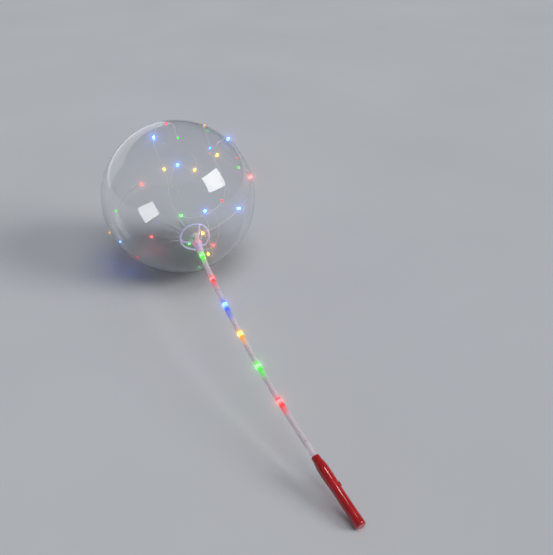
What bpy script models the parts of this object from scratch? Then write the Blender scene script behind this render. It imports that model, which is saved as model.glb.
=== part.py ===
"""A clear light-up party balloon on a stick, lying on its balloon and the end of its battery handle.

The pieces are modelled along an axis: X runs from the balloon's centre to the cup, down the bent stick and along
the handle. A rig empty then lays the whole thing on the floor.
"""

import math

import bmesh
import bpy
from mathutils import Matrix, Vector

# Driving dimensions, in metres and degrees

GAP = 0.0003

BALLOON_RADIUS = 0.215
NECK_RADIUS = 0.0045
NECK_FLARE = 0.013
FLAT_DEPTH = 0.0025
END_FLAT_DEPTH = 0.0006

RING_RADIUS = 0.038
RING_BAR_RADIUS = 0.0023
SPOKE_RADIUS = 0.0024
SPOKE_COUNT = 3
SPOKE_FIRST_ANGLE = 20.0
HUB_DROP = 0.032
HUB_RADIUS = 0.0122
SOCKET_END_RADIUS = 0.0088
SOCKET_LENGTH = 0.040
SOCKET_DEPTH = 0.024
WIRE_HOLE_RADIUS = 0.0025

STICK_LENGTH = 0.700
STICK_RADIUS = 0.0060
STICK_WALL = 0.0010
STICK_BOW = 0.026
BEND_TURN = 50.0
STICK_INSERT = 0.022

HANDLE_LENGTH = 0.156
HANDLE_WALL = 0.0022
HANDLE_WIDTH = 0.030
HANDLE_THICKNESS = 0.0235
HANDLE_SHOULDER = 0.030
HANDLE_NECK_RADIUS = 0.0085
HANDLE_END_ROUND = 0.004
HANDLE_TURN = -112.0

COVER_START = 0.046
COVER_LENGTH = 0.094
COVER_WIDTH = 0.0205
SCREW_HEAD_RADIUS = 0.0030
SCREW_SHANK_RADIUS = 0.0014
SCREW_LENGTH = 0.0080
SCREW_FROM_COVER_END = 0.008
BOSS_RADIUS = 0.0040

BUTTON_RADIUS = 0.0050
BUTTON_PROUD = 0.0018
BUTTON_SHARE_ALONG = 0.45

WIRE_RADIUS = 0.0005
LIGHT_RADIUS = 0.0024
LIGHT_LENGTH = 0.0072
STICK_LIGHT_PITCH = 0.100
STICK_LIGHT_FIRST = 0.060
STICK_LIGHT_COUNT = 6

COLOURS = {
    "red": (0.90, 0.03, 0.03),
    "green": (0.05, 0.75, 0.12),
    "yellow": (0.95, 0.70, 0.05),
    "blue": (0.04, 0.12, 0.90),
}
# The lights' colours in order along the string, starting at the handle
COLOUR_ORDER = ("red", "green", "yellow", "blue")

# Where the string lies round the balloon: the angle from the cup's axis and the angle round it, for each light
BALLOON_LIGHTS = (
    (20, 15), (17, -88), (6, 177), (6, -28), (39, -33), (71, -28), (63, -10), (62, 12), (93, -3),
    (113, -33), (125, 0), (96, 17), (66, 18), (32, -6), (19, 66), (52, 59), (81, 57), (97, 45),
    (74, 41), (47, 33), (52, 47), (52, 82), (61, 117), (82, 148), (93, 166), (116, -163), (110, -128),
)

# Places the wire is led through after a light, each with its two angles and how far it is lifted off the balloon:
# under a spoke round the neck, over the wire's own first turn, and over an earlier strand
WIRE_GUIDES = {
    2: (6.5, -105, 0.0),
    3: (14.0, -30, 0.0026),
    20: (40.0, 62, 0.0018),
}

# Sizes worked out from these

RIM_REACH = BALLOON_RADIUS + GAP + RING_BAR_RADIUS
RING_X = math.sqrt(RIM_REACH**2 - RING_RADIUS**2)
RING_TILT = math.degrees(math.atan2(RING_RADIUS, RING_X))
HUB_X = RING_X + HUB_DROP
HUB_TOP_X = HUB_X - HUB_RADIUS * 0.8
SOCKET_END_X = HUB_X + SOCKET_LENGTH
SOCKET_FLOOR_X = SOCKET_END_X - SOCKET_DEPTH
WIRE_HOLE_X = SOCKET_FLOOR_X - WIRE_HOLE_RADIUS - 0.001
WIRE_HOLE_ANGLE = SPOKE_FIRST_ANGLE - 180.0 / SPOKE_COUNT
STICK_START = SOCKET_FLOOR_X + GAP - HUB_X
STICK_MOUTH = STICK_LENGTH
STICK_END = STICK_MOUTH + STICK_INSERT
BENT_LENGTH = STICK_LENGTH - SOCKET_LENGTH
BEND_RADIUS = BENT_LENGTH**2 / (8 * STICK_BOW)
STRING_REACH = BALLOON_RADIUS + GAP + LIGHT_RADIUS
BORE_RADIUS = WIRE_RADIUS + GAP
HOP_REACH = RIM_REACH + RING_BAR_RADIUS + GAP + WIRE_RADIUS + 0.0004
HANDLE_X = STICK_MOUTH
COVER_END = COVER_START + COVER_LENGTH


def clear_scene():
    for obj in list(bpy.data.objects):
        bpy.data.objects.remove(obj)


def collection(name):
    made = bpy.data.collections.new(name)
    bpy.context.scene.collection.children.link(made)
    return made


def material(name, colour, roughness, metallic=0.0, alpha=1.0):
    made = bpy.data.materials.new(name)
    made.use_nodes = True
    shader = made.node_tree.nodes["Principled BSDF"]
    shader.inputs["Base Color"].default_value = (*colour, 1.0)
    shader.inputs["Roughness"].default_value = roughness
    shader.inputs["Metallic"].default_value = metallic
    shader.inputs["Alpha"].default_value = alpha
    return made


def add_object(name, mesh, where, mat=None, smooth_angle=35.0):
    obj = bpy.data.objects.new(name, mesh)
    where.objects.link(obj)
    if mat:
        mesh.materials.append(mat)
    mesh.shade_smooth()
    mesh.set_sharp_from_angle(angle=math.radians(smooth_angle))
    return obj


def from_bmesh(name, bm, where, mat=None):
    bmesh.ops.recalc_face_normals(bm, faces=bm.faces)
    mesh = bpy.data.meshes.new(name)
    bm.to_mesh(mesh)
    bm.free()
    return add_object(name, mesh, where, mat)


def as_cutter(obj):
    obj.hide_render = True
    obj.display_type = "WIRE"
    return obj


def boolean(obj, cutter, operation):
    modifier = obj.modifiers.new(cutter.name, "BOOLEAN")
    modifier.operation = operation
    modifier.object = cutter


def turned(name, profile, sides, where, mat=None):
    """A profile of (x, radius) points, from the far end back to the balloon's side, turned about the X axis."""
    bm = bmesh.new()
    points = [bm.verts.new((radius, 0.0, along)) for along, radius in profile]
    for first, second in zip(points, points[1:]):
        bm.edges.new((first, second))
    mesh = bpy.data.meshes.new(name)
    bm.to_mesh(mesh)
    bm.free()
    obj = bpy.data.objects.new(name, mesh)
    where.objects.link(obj)
    screw = obj.modifiers.new("turn", "SCREW")
    screw.steps = sides
    screw.render_steps = sides
    screw.use_merge_vertices = True
    screw.merge_threshold = 0.00001
    return baked(obj, Matrix.Rotation(math.radians(90), 4, "Y"), where, mat)


def baked(obj, transform, where, mat=None):
    """The object's evaluated shape as a plain mesh, welded and moved by transform; the object itself goes."""
    bpy.context.view_layer.update()
    evaluated = obj.evaluated_get(bpy.context.evaluated_depsgraph_get())
    mesh = bpy.data.meshes.new_from_object(evaluated)
    name = obj.name
    placed = transform @ obj.matrix_world
    bpy.data.objects.remove(obj)
    bm = bmesh.new()
    bm.from_mesh(mesh)
    bmesh.ops.remove_doubles(bm, verts=bm.verts, dist=0.00001)
    bmesh.ops.transform(bm, matrix=placed, verts=bm.verts)
    return from_bmesh(name, bm, where, mat)


def tube(name, points, radius, resolution, where, mat=None):
    """A round bar or wire along the points, with closed ends."""
    curve = bpy.data.curves.new(name, "CURVE")
    curve.dimensions = "3D"
    curve.bevel_depth = radius
    curve.bevel_resolution = resolution
    curve.use_fill_caps = True
    curve.twist_mode = "MINIMUM"
    spline = curve.splines.new("POLY")
    spline.points.add(len(points) - 1)
    for slot, point in zip(spline.points, points):
        slot.co = (*point, 1.0)
    obj = bpy.data.objects.new(name, curve)
    where.objects.link(obj)
    return baked(obj, Matrix(), where, mat)


def loft(name, sections, sides, where, mat=None):
    """A closed body through oval sections, each (x, half width along Y, half thickness along Z)."""
    bm = bmesh.new()
    rings = []
    for along, half_width, half_thickness in sections:
        rings.append([
            bm.verts.new((
                along,
                half_width * math.cos(math.tau * i / sides),
                half_thickness * math.sin(math.tau * i / sides),
            ))
            for i in range(sides)
        ])
    for near, far in zip(rings, rings[1:]):
        for i in range(sides):
            j = (i + 1) % sides
            bm.faces.new((near[i], near[j], far[j], far[i]))
    bm.faces.new(rings[0])
    bm.faces.new(rings[-1])
    return from_bmesh(name, bm, where, mat)


def cylinder(name, radius, start, end, sides, where, mat=None):
    """A cylinder between two points."""
    start, end = Vector(start), Vector(end)
    bm = bmesh.new()
    bmesh.ops.create_cone(
        bm, cap_ends=True, segments=sides, radius1=radius, radius2=radius, depth=(end - start).length
    )
    turn = (end - start).to_track_quat("Z", "Y").to_matrix().to_4x4()
    bmesh.ops.transform(bm, matrix=Matrix.Translation((start + end) / 2) @ turn, verts=bm.verts)
    return from_bmesh(name, bm, where, mat)


def box(name, low, high, where):
    low, high = Vector(low), Vector(high)
    bm = bmesh.new()
    bmesh.ops.create_cube(bm, size=1.0)
    size = Matrix.Diagonal((*(high - low), 1.0))
    bmesh.ops.transform(bm, matrix=Matrix.Translation((low + high) / 2) @ size, verts=bm.verts)
    return from_bmesh(name, bm, where)


# The stick's centre line

def stick_frame(along):
    """The place and heading at a length along the stick, counted from the hub, as a matrix with X ahead."""
    bent = min(max(along - SOCKET_LENGTH, 0.0), BENT_LENGTH)
    angle = bent / BEND_RADIUS
    place = Vector((SOCKET_END_X + BEND_RADIUS * math.sin(angle), 0.0, -BEND_RADIUS * (1 - math.cos(angle))))
    heading = Vector((math.cos(angle), 0.0, -math.sin(angle)))
    place += heading * (along - SOCKET_LENGTH - bent)
    return Matrix.Translation(place) @ Matrix.Rotation(angle, 4, "Y")


def stick_point(along):
    return stick_frame(along).translation


def round_axis(along, radius, degrees):
    """A point at this distance from the X axis, at an angle round it."""
    turn = math.radians(degrees)
    return Vector((along, radius * math.cos(turn), radius * math.sin(turn)))


def on_balloon(polar, degrees, reach):
    """A point at this reach from the balloon's centre."""
    tilt = math.radians(polar)
    return round_axis(reach * math.cos(tilt), reach * math.sin(tilt), degrees)


# The pieces

def add_balloon(parts, mat):
    """A sealed ball whose film is gathered into a short neck that reaches down to the cup's hub."""
    steps = 18
    flare = math.asin(NECK_FLARE / BALLOON_RADIUS)
    arc = [
        (BALLOON_RADIUS * math.cos(angle), BALLOON_RADIUS * math.sin(angle))
        for angle in (flare + (math.pi - flare) * i / steps for i in range(steps))
    ]
    neck_end = HUB_TOP_X - GAP
    neck_top = BALLOON_RADIUS + 0.25 * (neck_end - BALLOON_RADIUS)
    neck = [(neck_end, 0.0), (neck_end, NECK_RADIUS * 0.7), (neck_top, NECK_RADIUS * 1.3)]
    return turned("balloon", neck + arc + [(-BALLOON_RADIUS, 0.0)], 36, parts, mat)


def add_cup(parts, cutters, mat):
    """The ring that the balloon sits on, its spokes and the hub with the stick's socket, moulded as one."""
    bpy.ops.mesh.primitive_torus_add(
        major_radius=RING_RADIUS,
        minor_radius=RING_BAR_RADIUS,
        major_segments=36,
        minor_segments=8,
        location=(RING_X, 0, 0),
        rotation=(0, math.radians(90), 0),
    )
    cup = bpy.context.object
    cup.name = cup.data.name = "balloon_cup"
    cup.users_collection[0].objects.unlink(cup)
    parts.objects.link(cup)
    cup.data.materials.append(mat)
    cup.data.shade_smooth()
    for number in range(SPOKE_COUNT):
        angle = SPOKE_FIRST_ANGLE + 360.0 * number / SPOKE_COUNT
        points = [
            round_axis(RING_X, RING_RADIUS, angle),
            round_axis(RING_X + HUB_DROP * 0.42, RING_RADIUS * 0.66, angle),
            round_axis(RING_X + HUB_DROP * 0.80, RING_RADIUS * 0.32, angle),
            round_axis(HUB_X, HUB_RADIUS * 0.45, angle),
        ]
        spoke = tube(f"spoke_{number + 1}", points, SPOKE_RADIUS, 2, cutters)
        boolean(cup, as_cutter(spoke), "UNION")
    hub = turned(
        "hub",
        [
            (SOCKET_END_X, 0.0),
            (SOCKET_END_X, SOCKET_END_RADIUS - 0.0004),
            (SOCKET_END_X - 0.0010, SOCKET_END_RADIUS),
            (HUB_X + SOCKET_LENGTH * 0.45, SOCKET_END_RADIUS + 0.0004),
            (HUB_X + HUB_RADIUS * 0.55, HUB_RADIUS * 0.93),
            (HUB_X, HUB_RADIUS),
            (HUB_X - HUB_RADIUS * 0.50, HUB_RADIUS * 0.83),
            (HUB_TOP_X, HUB_RADIUS * 0.50),
            (HUB_TOP_X, 0.0),
        ],
        24,
        cutters,
    )
    boolean(cup, as_cutter(hub), "UNION")
    socket = cylinder(
        "socket_bore", STICK_RADIUS + GAP, (SOCKET_FLOOR_X, 0, 0), (SOCKET_END_X + 0.01, 0, 0), 24, cutters
    )
    boolean(cup, as_cutter(socket), "DIFFERENCE")
    passage = cylinder(
        "wire_passage", WIRE_HOLE_RADIUS, (WIRE_HOLE_X - 0.001, 0, 0), (SOCKET_FLOOR_X + 0.004, 0, 0), 12, cutters
    )
    boolean(cup, as_cutter(passage), "DIFFERENCE")
    side = cylinder(
        "wire_side_hole",
        WIRE_HOLE_RADIUS,
        (WIRE_HOLE_X, 0, 0),
        round_axis(WIRE_HOLE_X, HUB_RADIUS * 2, WIRE_HOLE_ANGLE),
        12,
        cutters,
    )
    boolean(cup, as_cutter(side), "DIFFERENCE")
    return cup


def add_stick(parts, cutters, mat):
    """A thin-walled tube with a lasting bend, from the cup's socket into the handle's neck."""
    steps = 12
    along = [STICK_START, *(SOCKET_LENGTH + BENT_LENGTH * i / steps for i in range(steps + 1)), STICK_END]
    stick = tube("stick_tube", [stick_point(s) for s in along], STICK_RADIUS, 3, parts, mat)
    beyond = [STICK_START - 0.01] + along[1:-1] + [STICK_END + 0.01]
    bore = tube("stick_bore", [stick_point(s) for s in beyond], STICK_RADIUS - STICK_WALL, 3, cutters)
    boolean(stick, as_cutter(bore), "DIFFERENCE")
    return stick


def handle_sections(inset):
    """The handle's oval sections, drawn in by the wall on all sides for its hollow."""
    width, thick = HANDLE_WIDTH / 2, HANDLE_THICKNESS / 2
    neck = HANDLE_NECK_RADIUS
    waist = 0.90
    shape = [
        (0.0, neck, neck),
        (HANDLE_SHOULDER * 0.22, neck + (width - neck) * 0.10, neck + (thick - neck) * 0.10),
        (HANDLE_SHOULDER * 0.52, neck + (width - neck) * 0.52, neck + (thick - neck) * 0.52),
        (HANDLE_SHOULDER * 0.80, neck + (width - neck) * 0.88, neck + (thick - neck) * 0.88),
        (HANDLE_SHOULDER * 1.10, width, thick),
        (HANDLE_SHOULDER * 1.70, width * 0.985, thick * 0.985),
        (HANDLE_LENGTH * 0.50, width * waist, thick * waist),
        (HANDLE_LENGTH * 0.80, width * waist, thick * waist),
        (HANDLE_LENGTH - HANDLE_END_ROUND, width * (waist + 0.03), thick * (waist + 0.03)),
        (HANDLE_LENGTH - HANDLE_END_ROUND * 0.3, width * (waist + 0.03) - 0.0012, thick * (waist + 0.03) - 0.0012),
        (HANDLE_LENGTH, width * (waist + 0.03) - 0.0035, thick * (waist + 0.03) - 0.0035),
    ]
    if not inset:
        return shape
    hollow = [section for section in shape if HANDLE_SHOULDER * 0.9 < section[0] < HANDLE_LENGTH - HANDLE_END_ROUND]
    first, last = hollow[0], hollow[-1]
    hollow = [(HANDLE_SHOULDER * 0.95, first[1] * 0.86, first[2] * 0.86), *hollow]
    hollow.append((HANDLE_LENGTH - inset * 1.3, last[1], last[2]))
    return [(x, half_width - inset, half_thickness - inset) for x, half_width, half_thickness in hollow]


def cover_window(name, gap, cutters):
    """The block that cuts the battery opening, or with a gap, the cover that fills it."""
    half = COVER_WIDTH / 2 - gap
    return box(
        name,
        (COVER_START + gap, -half, -HANDLE_THICKNESS),
        (COVER_END - gap, half, -HANDLE_THICKNESS * 0.20 - gap),
        cutters,
    )


def screw_frame():
    """Where the cover screw stands: the centre of its head's top face, in the handle's frame."""
    along = COVER_END - SCREW_FROM_COVER_END
    return Vector((along, 0.0, -HANDLE_THICKNESS / 2 * 0.90 + 0.0002))


def add_handle(parts, cutters, mat):
    """The battery handle: a hollow oval body, open on the battery side, with the stick's socket in its neck."""
    body = loft("handle_body", handle_sections(0.0), 24, parts, mat)
    hollow = loft("handle_hollow", handle_sections(HANDLE_WALL), 24, cutters)
    boolean(body, as_cutter(hollow), "DIFFERENCE")
    neck_bore = cylinder("neck_bore", STICK_RADIUS + GAP, (-0.005, 0, 0), (STICK_INSERT + 0.001, 0, 0), 24, cutters)
    boolean(body, as_cutter(neck_bore), "DIFFERENCE")
    wire_way = cylinder("wire_way", 0.003, (STICK_INSERT - 0.001, 0, 0), (HANDLE_SHOULDER + 0.01, 0, 0), 12, cutters)
    boolean(body, as_cutter(wire_way), "DIFFERENCE")
    boolean(body, as_cutter(cover_window("cover_opening", 0.0, cutters)), "DIFFERENCE")
    head = screw_frame()
    boss = cylinder(
        "screw_boss",
        BOSS_RADIUS,
        (head.x, 0, head.z + HANDLE_WALL + 0.0008),
        (head.x, 0, HANDLE_THICKNESS / 2 * 0.90 - HANDLE_WALL / 2),
        16,
        cutters,
    )
    boolean(body, as_cutter(boss), "UNION")
    pilot = cylinder(
        "screw_pilot",
        SCREW_SHANK_RADIUS + GAP,
        (head.x, 0, head.z),
        (head.x, 0, head.z + SCREW_LENGTH + 0.001),
        12,
        cutters,
    )
    boolean(body, as_cutter(pilot), "DIFFERENCE")
    button = button_frame()
    button_hole = cylinder(
        "button_hole",
        BUTTON_RADIUS + GAP,
        (button.x, 0, 0),
        (button.x, 0, HANDLE_THICKNESS),
        20,
        cutters,
    )
    boolean(body, as_cutter(button_hole), "DIFFERENCE")
    return body


def button_frame():
    """The middle of the button's foot on the handle's broad side."""
    return Vector((HANDLE_LENGTH * BUTTON_SHARE_ALONG, 0.0, HANDLE_THICKNESS / 2 * 0.92 - HANDLE_WALL))


def add_cover(parts, cutters, mat):
    """The battery cover, a panel cut from the same oval wall, with a clearance hole for its screw."""
    cover = loft("battery_cover", handle_sections(0.0), 24, parts, mat)
    hollow = loft("cover_hollow", handle_sections(HANDLE_WALL), 24, cutters)
    boolean(cover, as_cutter(hollow), "DIFFERENCE")
    boolean(cover, as_cutter(cover_window("cover_outline", GAP, cutters)), "INTERSECT")
    head = screw_frame()
    seat = cylinder(
        "screw_seat", SCREW_HEAD_RADIUS + GAP, (head.x, 0, head.z - 0.01), (head.x, 0, head.z + 0.0012), 20, cutters
    )
    boolean(cover, as_cutter(seat), "DIFFERENCE")
    hole = cylinder(
        "screw_hole", SCREW_SHANK_RADIUS + GAP, (head.x, 0, head.z - 0.01), (head.x, 0, head.z + 0.01), 12, cutters
    )
    boolean(cover, as_cutter(hole), "DIFFERENCE")
    return cover


def add_screw(parts, cutters, mat):
    """The cover's screw: a flat head with a cross slot on a plain shank."""
    head = screw_frame()
    screw = cylinder(
        "cover_screw", SCREW_SHANK_RADIUS, (head.x, 0, head.z + 0.0004), (head.x, 0, head.z + SCREW_LENGTH), 12, parts, mat
    )
    cap = cylinder(
        "screw_cap", SCREW_HEAD_RADIUS, (head.x, 0, head.z - 0.0001), (head.x, 0, head.z + 0.0009), 20, cutters
    )
    boolean(screw, as_cutter(cap), "UNION")
    reach, half = SCREW_HEAD_RADIUS * 0.7, 0.00035
    for name, low, high in (("slot_long", reach, half), ("slot_cross", half, reach)):
        slot = box(
            name, (head.x - low, -high, head.z - 0.001), (head.x + low, high, head.z + 0.0004), cutters
        )
        boolean(screw, as_cutter(slot), "DIFFERENCE")
    return screw


def add_button(parts, mat):
    """The soft push button: a low dome on a short stem, standing a little proud of the handle's side."""
    foot = button_frame()
    top = HANDLE_THICKNESS / 2 * 0.92 + BUTTON_PROUD
    rise = top - foot.z
    profile = [
        (rise, 0.0),
        (rise - 0.0002, BUTTON_RADIUS * 0.45),
        (rise - 0.0007, BUTTON_RADIUS * 0.80),
        (rise - 0.0015, BUTTON_RADIUS),
        (0.0, BUTTON_RADIUS),
        (0.0, 0.0),
    ]
    button = turned("power_button", profile, 20, parts, mat)
    button.matrix_basis = Matrix.Translation(foot) @ Matrix.Rotation(math.radians(-90), 4, "Y")
    return button


# The light string

def light_frames():
    """Each light's place and heading along the string, from the handle to the string's free end."""
    frames = []
    for number in range(STICK_LIGHT_COUNT):
        along = STICK_LIGHT_FIRST + STICK_LIGHT_PITCH * (STICK_LIGHT_COUNT - 1 - number)
        here = stick_frame(along)
        frames.append((here.translation, -(here.to_3x3() @ Vector((1, 0, 0)))))
    loose = Vector(round_axis(HUB_X + STICK_LIGHT_FIRST, STICK_RADIUS * 2.6, WIRE_HOLE_ANGLE))
    frames.append((loose, Vector((1, 0, 0))))
    frames += [(place, heading) for place, heading, has_light in balloon_stations() if has_light]
    return frames


def balloon_stations():
    """The string's stations on the balloon, each with its place, its heading and whether it has a light."""
    places = []
    for number, (polar, degrees) in enumerate(BALLOON_LIGHTS):
        places.append((on_balloon(polar, degrees, STRING_REACH), True))
        if number in WIRE_GUIDES:
            polar, degrees, lift = WIRE_GUIDES[number]
            places.append((on_balloon(polar, degrees, STRING_REACH + lift), False))
    outside = round_axis(RING_X, RING_RADIUS, WIRE_HOLE_ANGLE)
    stations = []
    for number, (place, has_light) in enumerate(places):
        before = places[number - 1][0] if number else outside
        after = places[number + 1][0] if number + 1 < len(places) else place + (place - before)
        outward = place.normalized()
        heading = (place - before).normalized() + (after - place).normalized()
        heading -= outward * heading.dot(outward)
        stations.append((place, heading.normalized(), has_light))
    return stations


def tilt_of(point):
    """The angle between a point and the cup's axis, seen from the balloon's centre."""
    return math.degrees(math.atan2(math.hypot(point.y, point.z), point.x))


def over_ring(point, lift):
    """The point put at its height over the balloon, higher where the wire passes over the cup's ring."""
    spread = 1.6
    near = max(0.0, 1.0 - ((tilt_of(point) - RING_TILT) / spread) ** 2)
    hop = (HOP_REACH - STRING_REACH) * min(1.0, 2.5 * near)
    return point.normalized() * (STRING_REACH + max(hop, lift))


def balloon_stretch(first, second, heading_out, heading_in):
    """Points between two stations, on a smooth curve that leaves and meets them along their headings."""
    pull = (second - first).length * 0.8
    lift_out, lift_in = (end.length - STRING_REACH for end in (first, second))
    crosses_ring = (tilt_of(first) < RING_TILT) != (tilt_of(second) < RING_TILT)
    steps = 11 if crosses_ring else 4
    points = []
    for i in range(1, steps):
        t = i / steps
        a, b = 2 * t**3 - 3 * t**2 + 1, t**3 - 2 * t**2 + t
        c, d = -2 * t**3 + 3 * t**2, t**3 - t**2
        curved = a * first + b * pull * heading_out + c * second + d * pull * heading_in
        points.append(over_ring(curved, lift_out * (1 - t) + lift_in * t))
    return points


def string_route():
    """The wire's points: up the stick, out of the hub's side, down to the loose light and round the balloon."""
    half = LIGHT_LENGTH * 0.62
    frames = light_frames()
    points = [stick_point(STICK_END + 0.004)]
    for place, heading in frames[:STICK_LIGHT_COUNT]:
        points += [place - heading * half, place + heading * half]
    points += [
        Vector((WIRE_HOLE_X + 0.006, 0, 0)),
        round_axis(WIRE_HOLE_X + 0.0008, 0.0012, WIRE_HOLE_ANGLE),
        round_axis(WIRE_HOLE_X, HUB_RADIUS * 0.6, WIRE_HOLE_ANGLE),
        round_axis(WIRE_HOLE_X + 0.001, HUB_RADIUS * 1.15, WIRE_HOLE_ANGLE),
        round_axis(WIRE_HOLE_X + 0.010, HUB_RADIUS * 1.45, WIRE_HOLE_ANGLE),
    ]
    loose, down = frames[STICK_LIGHT_COUNT]
    points += [loose - down * half, loose + down * half]
    turn = HUB_X + STICK_LIGHT_FIRST
    angle = WIRE_HOLE_ANGLE
    points += [
        round_axis(turn + 0.0125, STICK_RADIUS * 2.9, angle),
        round_axis(turn + 0.0160, STICK_RADIUS * 3.6, angle + 5),
        round_axis(turn + 0.0130, STICK_RADIUS * 4.2, angle + 9),
        round_axis(turn - 0.0120, STICK_RADIUS * 4.6, angle + 15),
        round_axis(HUB_X + 0.010, RING_RADIUS * 0.92, angle + 24),
        round_axis(RING_X + 0.010, RING_RADIUS * 1.35, angle + 38),
    ]
    last_point = last_heading = None
    for place, heading, has_light in balloon_stations():
        straight = heading * (half if has_light else 0.0)
        if last_point:
            points += balloon_stretch(last_point, place - straight, last_heading, heading)
        points += [place - straight, place + straight] if has_light else [place]
        last_point, last_heading = place + straight, heading
    return points


def add_string(parts, wire_mat, light_mats):
    """The wire with its lights: each light is a resin drop with the wire running through it."""
    tube("light_string_wire", string_route(), WIRE_RADIUS, 1, parts, wire_mat)
    half = LIGHT_LENGTH / 2
    profile = [
        (half, BORE_RADIUS),
        (half * 0.80, LIGHT_RADIUS * 0.72),
        (0.0, LIGHT_RADIUS),
        (-half * 0.80, LIGHT_RADIUS * 0.72),
        (-half, BORE_RADIUS),
        (half, BORE_RADIUS),
    ]
    for number, (place, heading) in enumerate(light_frames()):
        colour = COLOUR_ORDER[number % len(COLOUR_ORDER)]
        light = turned(f"light_{number + 1:02d}_{colour}", profile, 7, parts, light_mats[colour])
        facing = heading.to_track_quat("X", "Z").to_matrix().to_4x4()
        light.matrix_basis = Matrix.Translation(place) @ facing


# Laying the object down

def lowest(matrix):
    """The height of the handle end's lowest point from the balloon's centre, under this turn of the whole object."""
    end = matrix @ stick_frame(STICK_LENGTH + HANDLE_LENGTH - HANDLE_END_ROUND)
    sections = handle_sections(0.0)
    half_width, half_thickness = sections[8][1:]
    turned_end = end @ Matrix.Rotation(math.radians(HANDLE_TURN), 4, "X")
    across = turned_end.to_3x3()
    drop = math.hypot(half_width * across.col[1].z, half_thickness * across.col[2].z)
    return end.translation.z - drop


def lying_turn():
    """The turn that lays the object on its balloon and the end of its handle, with its length along X."""
    roll = Matrix.Rotation(math.radians(BEND_TURN), 4, "X")
    floor = FLAT_DEPTH - BALLOON_RADIUS
    low, high = math.radians(-20), math.radians(60)
    for _ in range(40):
        middle = (low + high) / 2
        if lowest(Matrix.Rotation(middle, 4, "Y") @ roll) < floor - END_FLAT_DEPTH:
            high = middle
        else:
            low = middle
    laid = Matrix.Rotation(low, 4, "Y") @ roll
    far = laid @ stick_point(STICK_LENGTH + HANDLE_LENGTH)
    return Matrix.Rotation(-math.atan2(far.y, far.x), 4, "Z") @ laid


def centre_on_floor(rig, parts):
    """Moves the rig so that the floor's origin is under the middle of the object's box."""
    bpy.context.view_layer.update()
    graph = bpy.context.evaluated_depsgraph_get()
    corners = []
    for obj in parts.objects:
        mesh = obj.evaluated_get(graph).to_mesh()
        corners += [obj.matrix_world @ vertex.co for vertex in mesh.vertices]
        obj.evaluated_get(graph).to_mesh_clear()
    for axis in (0, 1):
        values = [corner[axis] for corner in corners]
        rig.location[axis] -= (min(values) + max(values)) / 2


def main():
    clear_scene()
    parts = collection("led_balloon")
    cutters = collection("cutters")
    film = material("clear_film", (0.92, 0.95, 0.97), 0.03, alpha=0.25)
    frosted = material("frosted_plastic", (0.86, 0.88, 0.90), 0.35)
    milky = material("milky_plastic", (0.90, 0.90, 0.93), 0.30)
    red = material("red_plastic", (0.62, 0.01, 0.015), 0.22)
    rubber = material("red_rubber", (0.50, 0.01, 0.015), 0.45)
    steel = material("screw_steel", (0.62, 0.62, 0.63), 0.30, metallic=1.0)
    wire = material("silver_wire", (0.75, 0.74, 0.72), 0.25, metallic=1.0)
    lights = {name: material(f"light_{name}", colour, 0.10) for name, colour in COLOURS.items()}

    add_balloon(parts, film)
    add_cup(parts, cutters, milky)
    add_stick(parts, cutters, frosted)
    add_string(parts, wire, lights)
    along_stick = list(parts.objects) + list(cutters.objects)
    add_handle(parts, cutters, red)
    add_cover(parts, cutters, red)
    add_screw(parts, cutters, steel)
    add_button(parts, rubber)
    along_handle = [o for o in (*parts.objects, *cutters.objects) if o not in along_stick]

    rig = bpy.data.objects.new("rig", None)
    handle_rig = bpy.data.objects.new("handle_rig", None)
    for empty in (rig, handle_rig):
        cutters.objects.link(empty)
    handle_rig.parent = rig
    handle_rig.matrix_basis = stick_frame(HANDLE_X) @ Matrix.Rotation(math.radians(HANDLE_TURN), 4, "X")
    for obj in along_stick:
        obj.parent = rig
    for obj in along_handle:
        obj.parent = handle_rig
    rig.matrix_basis = Matrix.Translation((0, 0, BALLOON_RADIUS - FLAT_DEPTH)) @ lying_turn()

    reach = BALLOON_RADIUS * 12
    floor = box("floor_cutter", (-reach, -reach, -BALLOON_RADIUS / 4), (reach, reach, 0.0), cutters)
    as_cutter(floor)
    for name in ("balloon", "handle_body"):
        boolean(bpy.data.objects[name], floor, "DIFFERENCE")
    centre_on_floor(rig, parts)


main()
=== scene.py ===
"""The looks of a clear light-up party balloon on a stick, laid on a pale studio floor."""

import math

import bmesh
import bpy
import numpy as np
from mathutils import Matrix, Vector


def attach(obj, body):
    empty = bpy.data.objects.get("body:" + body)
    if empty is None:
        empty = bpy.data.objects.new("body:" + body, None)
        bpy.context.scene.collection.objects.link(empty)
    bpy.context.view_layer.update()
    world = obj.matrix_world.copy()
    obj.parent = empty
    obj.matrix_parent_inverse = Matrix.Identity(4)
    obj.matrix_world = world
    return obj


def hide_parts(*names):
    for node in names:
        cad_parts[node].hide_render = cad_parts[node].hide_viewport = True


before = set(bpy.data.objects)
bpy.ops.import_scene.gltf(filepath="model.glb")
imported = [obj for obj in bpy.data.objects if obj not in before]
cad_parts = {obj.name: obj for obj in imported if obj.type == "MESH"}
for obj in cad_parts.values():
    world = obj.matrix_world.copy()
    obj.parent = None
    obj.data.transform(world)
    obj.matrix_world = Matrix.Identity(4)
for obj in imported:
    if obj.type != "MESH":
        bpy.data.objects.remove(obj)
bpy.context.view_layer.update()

# Sizes and places from the part, in metres and degrees

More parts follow.
